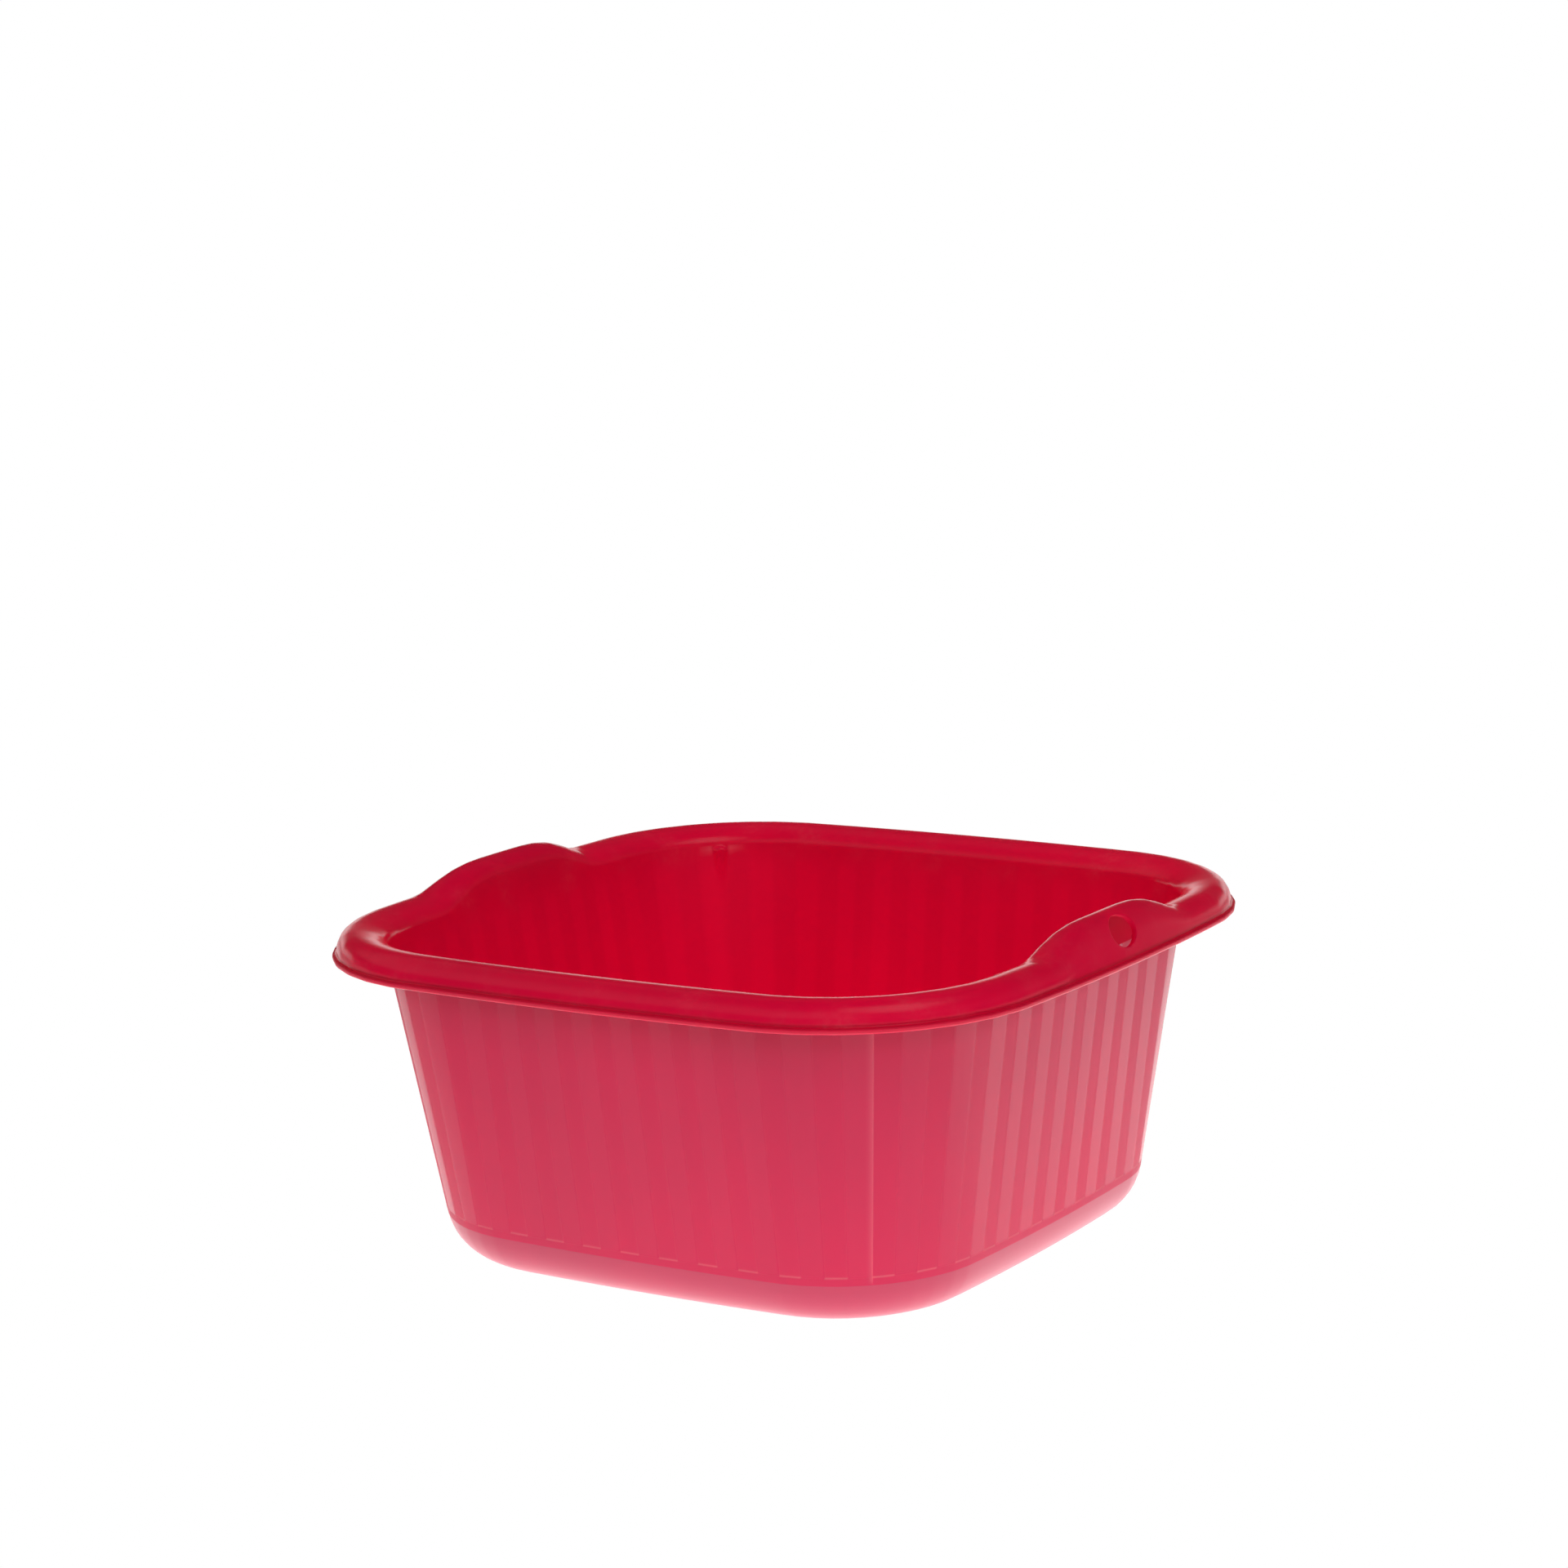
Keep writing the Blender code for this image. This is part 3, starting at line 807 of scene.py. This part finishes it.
def plastic(name, colour, roughness, shine, through, grain, tone=1.0, stripe=0.0, shade=0.0,
            scuffs=0.0):
    """Red, slightly translucent polypropylene.

    roughness is the mean roughness, shine the strength of reflections, through the share of
    light that passes, grain the depth of the fine surface texture in metres, tone scales
    the colour, stripe is how strongly the painted stripes of light through the thinner
    bands show, shade how much deeper the painted shade makes the colour under the rim or
    in the groove over the lip, and scuffs how pale and dull the worn patches are.
    """
    n = Nodes(name)
    coords = n.add("ShaderNodeTexCoord").outputs["Object"]
    clouds = n.noise(coords, scale=14.0, detail=4.0)
    flow = n.noise(coords, scale=22.0, detail=5.0, stretch=(1.0, 1.0, 0.18))
    specks = n.noise(coords, scale=900.0, detail=2.0)
    grain_noise = n.noise(coords, scale=1500.0, detail=3.0)
    drag = n.noise(coords, scale=160.0, detail=4.0, stretch=(1.0, 1.0, 0.06))

    mottle = n.math("ADD", n.math("MULTIPLY", clouds, CLOUD_SHARE),
                    n.math("MULTIPLY", flow, 1 - CLOUD_SHARE))
    vary = n.ranged(mottle, 1 - MOTTLE, 1 + MOTTLE)
    # painted stripes of light through the thinner bands, on the inside
    vary = n.math("ADD", vary, n.math("MULTIPLY", n.attribute("soft_bands"), stripe))
    # painted shade deepens the colour under the rim and in the groove; the inside is painted
    # lighter
    less = n.math("SUBTRACT", n.math("MULTIPLY", n.attribute("shade"), shade),
                  n.math("MULTIPLY", n.attribute("inner"), INNER_PAINTED_LIGHT))
    dimmed = n.scaled(colour, n.math("MULTIPLY", n.math("SUBTRACT", tone, less), vary))
    worn = n.math(
        "MULTIPLY",
        n.ranged_between(n.noise(coords, scale=45.0, detail=6.0),
                         start=0.46, end=0.74, low=0.0, high=1.0),
        n.ranged_between(n.noise(coords, scale=420.0, detail=4.0),
                         start=0.35, end=0.70, low=0.3, high=1.0))
    worn = n.math("MULTIPLY", worn, n.math("SUBTRACT", 1.0, n.attribute("inner")))
    dimmed = n.blend(n.math("MULTIPLY", worn, scuffs), dimmed, PALE_RED_WEAR_AND_HIGHLIGHT)
    # painted highlights: pale on parting lines, beside lug tops and on the ledges under recesses
    body = n.blend(n.math("MULTIPLY", n.attribute("painted_highlight"), SEAM_PALE), dimmed, PALE_RED_WEAR_AND_HIGHLIGHT)
    body = n.blend(n.math("MULTIPLY", n.attribute("ledge"), LEDGE_PALE), body, PALE_RED_WEAR_AND_HIGHLIGHT)
    glow = n.scaled(GLOW, vary)
    rough = n.math(
        "ADD", n.ranged(clouds, roughness * (1 - GLOSS_SPREAD), roughness * (1 + GLOSS_SPREAD)),
        n.ranged(specks, -SPECK_GLOSS, SPECK_GLOSS))
    rough = n.math("ADD", rough, n.math("MULTIPLY", n.attribute("inner"), INNER_GLOSS))
    rough = n.math("ADD", rough, n.math("MULTIPLY", worn, scuffs / 2))
    rough = n.math("ADD", rough, n.math("MULTIPLY", n.attribute("shade"), roughness * SHADE_GLOSS))

    bump = n.add("ShaderNodeBump")
    bump.inputs["Strength"].default_value = 1.0
    bump.inputs["Distance"].default_value = grain
    height = n.math("ADD", grain_noise, n.math("MULTIPLY", drag, DRAG_SHARE))
    n.link(height, bump.inputs["Height"])
    waves = n.add("ShaderNodeBump")
    waves.inputs["Strength"].default_value = 1.0
    waves.inputs["Distance"].default_value = WAVE_DEPTH
    n.link(n.noise(coords, scale=30.0, detail=2.0, stretch=(1.0, 1.0, 0.5)),
           waves.inputs["Height"])
    n.link(waves.outputs["Normal"], bump.inputs["Normal"])

    shell = n.add("ShaderNodeBsdfPrincipled")
    n.link(body, shell.inputs["Base Color"])
    n.link(rough, shell.inputs["Roughness"])
    n.link(bump.outputs["Normal"], shell.inputs["Normal"])
    shell.inputs["IOR"].default_value = REFRACTION
    shell.inputs["Specular IOR Level"].default_value = shine
    behind = n.add("ShaderNodeBsdfTranslucent")
    n.link(glow, behind.inputs["Color"])
    mixed = n.add("ShaderNodeMixShader")
    mixed.inputs["Fac"].default_value = through
    n.link(shell.outputs[0], mixed.inputs[1])
    n.link(behind.outputs[0], mixed.inputs[2])
    output = n.add("ShaderNodeOutputMaterial")
    n.link(mixed.outputs[0], output.inputs["Surface"])
    return n.material


def make_basin():
    basin = bpy.data.objects.new("basin_moulding", basin_mesh())
    bpy.context.scene.collection.objects.link(basin)
    for material in (
        plastic("red_satin", WALL_RED, roughness=0.46, shine=0.55, through=0.50,
                grain=0.000006, tone=0.78, shade=0.20),
        plastic("red_polished", WALL_RED, roughness=0.20, shine=0.51, through=0.50,
                grain=0.000001, tone=0.78, shade=0.20),
        plastic("red_rim", RIM_RED, roughness=0.17, shine=0.45, through=0.42,
                grain=0.000001, stripe=0.075, shade=0.42, scuffs=0.08),
        # the hollow under the rim: a darker copy of the rim's plastic, as painted shade
        plastic("red_hollow", RIM_RED, roughness=0.55, shine=0.02, through=0.50,
                grain=0.000006, tone=0.62),
        # the foot: a darker copy of the wall's plastic, painted shade against the strong floor
        # light there
        plastic("red_foot", WALL_RED, roughness=0.30, shine=0.70, through=0.34,
                grain=0.000002, tone=0.55),
        plastic("red_bead", RIM_RED, roughness=0.45, shine=0.36, through=0.36,
                grain=0.000001, tone=0.80, shade=0.45),
        plastic("red_hole", RIM_RED, roughness=0.50, shine=0.05, through=0.50,
                grain=0.000001, tone=0.80),
    ):
        basin.data.materials.append(material)
    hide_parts("basin")
    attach(basin, "root")


# Floor, light and camera

PLAIN = 1.0               # what the camera sees of the floor and of the room, from every side
WHITE = (1.0, 1.0, 1.0, 1.0)
ACROSS = (0.841, 0.541, 0.0)        # to the right, as the photograph sees it
BACKWARDS = (-0.541, 0.841, 0.0)    # and away from the camera

# The floor, as the plastic reflects it and is lit by it
FLOOR_REACH = 30.0
FLOOR_DOWN = 0.0004       # the floor lies this much under the foot
FLOOR_GREY = 0.5
FLOOR_NEAR = 2.2          # how strongly it shines round its bright place
FLOOR_FAR = 1.12          # far from there
FLOOR_SIDE = 0.38         # and outside the lit part
BRIGHT_PLACE = (0.10, 0.08, 0.0)
BRIGHT_RADIUS = 0.12
BRIGHT_FADES_AT = 0.66
VIEW_DISTANCE = 1.6       # the lit part widens backwards from a point this far in front
LIT_SPREAD = 0.22         # its half width, as a share of the distance from there
LIT_FADES_AT = 0.42
LEAST_DISTANCE = 0.2
UNDER_SHARE = 0.40        # the floor shines less where the basin covers it
UNDER_MARGIN = 0.002
UNDER_FADE = 0.012
UNDER_HALF = FOOT_HALF - FOOT_FILLET + UNDER_MARGIN

# The room: heights are the Z of a direction, and other limits cosines between directions
BACK_LIGHT = 1.6
LEFT_LIGHT = 0.40
RIGHT_LIGHT = 0.12
TOP_LIGHT = 0.05
CORNER_LIGHT = 1.3        # one patch, which shows on the skirt at the front corner
CORNER_LIGHT_TOWARDS = (0.502, -0.242, 0.830)
CORNER_LIGHT_EDGE = (0.91, 0.99)
BACK_LIGHT_HEIGHT = 0.08
BACK_FADES_AT = 0.20
BAND_FADE = 0.14
SIDES_MEET = (-0.3, 0.3)
BACK_MEETS_SIDES = (0.45, 0.80)

# The lamps
LAMP_DISTANCE = 1.5
LAMP_AIM = Vector((0.0, 0.0, 0.1))


def make_floor():
    mesh = bpy.data.meshes.new("floor")
    signs = ((-1, -1), (1, -1), (1, 1), (-1, 1))
    mesh.from_pydata([(x * FLOOR_REACH, y * FLOOR_REACH, -FLOOR_DOWN) for x, y in signs],
                     [], [(0, 1, 2, 3)])
    floor = bpy.data.objects.new("floor", mesh)
    bpy.context.scene.collection.objects.link(floor)
    n = Nodes("white_floor")
    dull = n.add("ShaderNodeBsdfDiffuse")
    dull.inputs["Color"].default_value = (FLOOR_GREY, FLOOR_GREY, FLOOR_GREY, 1.0)
    light = n.add("ShaderNodeEmission")
    light.inputs["Color"].default_value = WHITE
    coords = n.add("ShaderNodeTexCoord").outputs["Object"]
    near = n.ranged_between(n.distance(coords, BRIGHT_PLACE), BRIGHT_RADIUS, BRIGHT_FADES_AT,
                            FLOOR_NEAR, FLOOR_FAR)
    sideways = n.math("ABSOLUTE", n.along(coords, ACROSS))
    backwards = n.math("ADD", n.along(coords, BACKWARDS), VIEW_DISTANCE)
    spread = n.math("DIVIDE", sideways, n.math("MAXIMUM", backwards, LEAST_DISTANCE))
    lit = n.ranged_between(spread, LIT_SPREAD, LIT_FADES_AT, 1.0, 0.0)
    strength = n.math(
        "ADD", FLOOR_SIDE, n.math("MULTIPLY", lit, n.math("SUBTRACT", near, FLOOR_SIDE)))
    squareness = 4.0      # of the round-cornered square that the foot covers
    far = n.math("ADD", *(
        n.math("POWER", n.math("ABSOLUTE", n.along(coords, axis)), squareness)
        for axis in ((1.0, 0.0, 0.0), (0.0, 1.0, 0.0))))
    far = n.math("POWER", far, 1 / squareness)
    under = n.ranged_between(far, UNDER_HALF - UNDER_FADE, UNDER_HALF, UNDER_SHARE, 1.0)
    n.link(n.math("MULTIPLY", strength, under), light.inputs["Strength"])
    both = n.add("ShaderNodeAddShader")
    n.link(dull.outputs[0], both.inputs[0])
    n.link(light.outputs[0], both.inputs[1])
    plain = n.add("ShaderNodeEmission")
    plain.inputs["Color"].default_value = WHITE
    plain.inputs["Strength"].default_value = PLAIN
    seen = n.add("ShaderNodeMixShader")
    n.link(n.add("ShaderNodeLightPath").outputs["Is Camera Ray"], seen.inputs[0])
    n.link(both.outputs[0], seen.inputs[1])
    n.link(plain.outputs[0], seen.inputs[2])
    output = n.add("ShaderNodeOutputMaterial")
    n.link(seen.outputs[0], output.inputs["Surface"])
    n.material.cycles.emission_sampling = "NONE"
    mesh.materials.append(n.material)


def make_world():
    """The room: a bright low band behind, soft bands at the sides and one patch of light.

    Only reflections and lighting meet these. The camera sees a plain white.
    """
    world = bpy.data.worlds.new("studio")
    bpy.context.scene.world = world
    world.use_nodes = True
    tree = world.node_tree
    tree.nodes.clear()
    coords = tree.nodes.new("ShaderNodeTexCoord")
    split = tree.nodes.new("ShaderNodeSeparateXYZ")
    tree.links.new(coords.outputs["Generated"], split.inputs[0])

    def ramp(stops):
        node = tree.nodes.new("ShaderNodeValToRGB")
        node.color_ramp.interpolation = "EASE"
        elements = node.color_ramp.elements
        while len(elements) < len(stops):
            elements.new(0.5)
        for element, (place, level) in zip(elements, stops):
            element.position = place
            element.color = (level, level, level, 1.0)
        tree.links.new(split.outputs["Z"], node.inputs["Fac"])
        return node.outputs["Color"]

    def facing(direction, start, end):
        """0 to 1 as a direction of the sky turns towards the given one."""
        node = tree.nodes.new("ShaderNodeVectorMath")
        node.operation = "DOT_PRODUCT"
        tree.links.new(coords.outputs["Generated"], node.inputs[0])
        node.inputs[1].default_value = direction
        spread = tree.nodes.new("ShaderNodeMapRange")
        spread.inputs["From Min"].default_value = start
        spread.inputs["From Max"].default_value = end
        tree.links.new(node.outputs["Value"], spread.inputs["Value"])
        return spread.outputs[0]

    def blend(amount, first, second):
        node = tree.nodes.new("ShaderNodeMix")
        node.data_type = "RGBA"
        tree.links.new(amount, node.inputs[0])
        tree.links.new(first, node.inputs[MIX_FIRST])
        tree.links.new(second, node.inputs[MIX_SECOND])
        return node.outputs[MIX_RESULT]

    def band(level, low, high, top):
        """Dark at the horizon, lit between low and high, and dark again over top."""
        return ramp(((0.0, TOP_LIGHT), (low, TOP_LIGHT), (low + BAND_FADE, level),
                     (high, level), (top, TOP_LIGHT)))

    back = ramp(((0.0, BACK_LIGHT), (BACK_LIGHT_HEIGHT, BACK_LIGHT), (BACK_FADES_AT, TOP_LIGHT)))
    sides = blend(facing(ACROSS, *SIDES_MEET),
                  band(LEFT_LIGHT, low=0.28, high=0.60, top=0.90),
                  band(RIGHT_LIGHT, low=0.10, high=0.30, top=0.60))
    light = blend(facing(BACKWARDS, *BACK_MEETS_SIDES), sides, back)
    light = blend(facing(CORNER_LIGHT_TOWARDS, *CORNER_LIGHT_EDGE), light, ramp(
        ((0.0, CORNER_LIGHT), (1.0, CORNER_LIGHT))))
    background = tree.nodes.new("ShaderNodeBackground")
    tree.links.new(light, background.inputs["Color"])
    plain = tree.nodes.new("ShaderNodeBackground")
    plain.inputs["Strength"].default_value = PLAIN
    plain.inputs["Color"].default_value = WHITE
    seen = tree.nodes.new("ShaderNodeMixShader")
    path = tree.nodes.new("ShaderNodeLightPath")
    tree.links.new(path.outputs["Is Camera Ray"], seen.inputs[0])
    tree.links.new(background.outputs[0], seen.inputs[1])
    tree.links.new(plain.outputs[0], seen.inputs[2])
    output = tree.nodes.new("ShaderNodeOutputWorld")
    tree.links.new(seen.outputs[0], output.inputs["Surface"])


def make_lamp(name, azimuth, elevation, size, power):
    """A soft lamp aimed at the basin that lights it without a mirror image in it."""
    data = bpy.data.lights.new(name, "AREA")
    data.shape = "DISK"
    data.size = size
    data.energy = power
    lamp = bpy.data.objects.new(name, data)
    bpy.context.scene.collection.objects.link(lamp)
    turn, rise = math.radians(azimuth), math.radians(elevation)
    away = Vector((math.cos(turn) * math.cos(rise), math.sin(turn) * math.cos(rise),
                   math.sin(rise)))
    lamp.matrix_world = (Matrix.Translation(away * LAMP_DISTANCE + LAMP_AIM)
                         @ away.to_track_quat("Z", "Y").to_matrix().to_4x4())
    lamp.visible_glossy = False


def make_camera():
    """The photograph's view, found by fitting the basin's outlines."""
    focal = 4698.6
    frame_side = 1920
    pitch, yaw, roll = math.radians(10.2189), math.radians(32.7656), math.radians(-1.8489)
    distance = 1.6211
    origin_x, origin_y = 979.2, 1500.4
    ahead = Vector((-math.sin(yaw) * math.cos(pitch), math.cos(yaw) * math.cos(pitch),
                    -math.sin(pitch)))
    right = Vector((math.cos(yaw), math.sin(yaw), 0))
    up = right.cross(ahead)
    right, up = (right * math.cos(roll) + up * math.sin(roll),
                 up * math.cos(roll) - right * math.sin(roll))
    middle = frame_side / 2
    origin = (ahead * distance + right * ((origin_x - middle) / focal * distance)
              - up * ((origin_y - middle) / focal * distance))
    data = bpy.data.cameras.new("camera")
    data.sensor_width = 36.0
    data.lens = focal / frame_side * data.sensor_width
    data.clip_end = 200.0
    camera = bpy.data.objects.new("camera", data)
    bpy.context.scene.collection.objects.link(camera)
    pose = Matrix((right, up, -ahead)).transposed().to_4x4()
    pose.translation = -origin
    camera.matrix_world = pose
    bpy.context.scene.camera = camera


bpy.context.scene.view_settings.view_transform = "Standard"
make_basin()
make_floor()
make_world()
make_lamp("key", azimuth=-82, elevation=38, size=0.40, power=4.8)
make_lamp("overhead", azimuth=15, elevation=60, size=1.0, power=6.2)
make_camera()

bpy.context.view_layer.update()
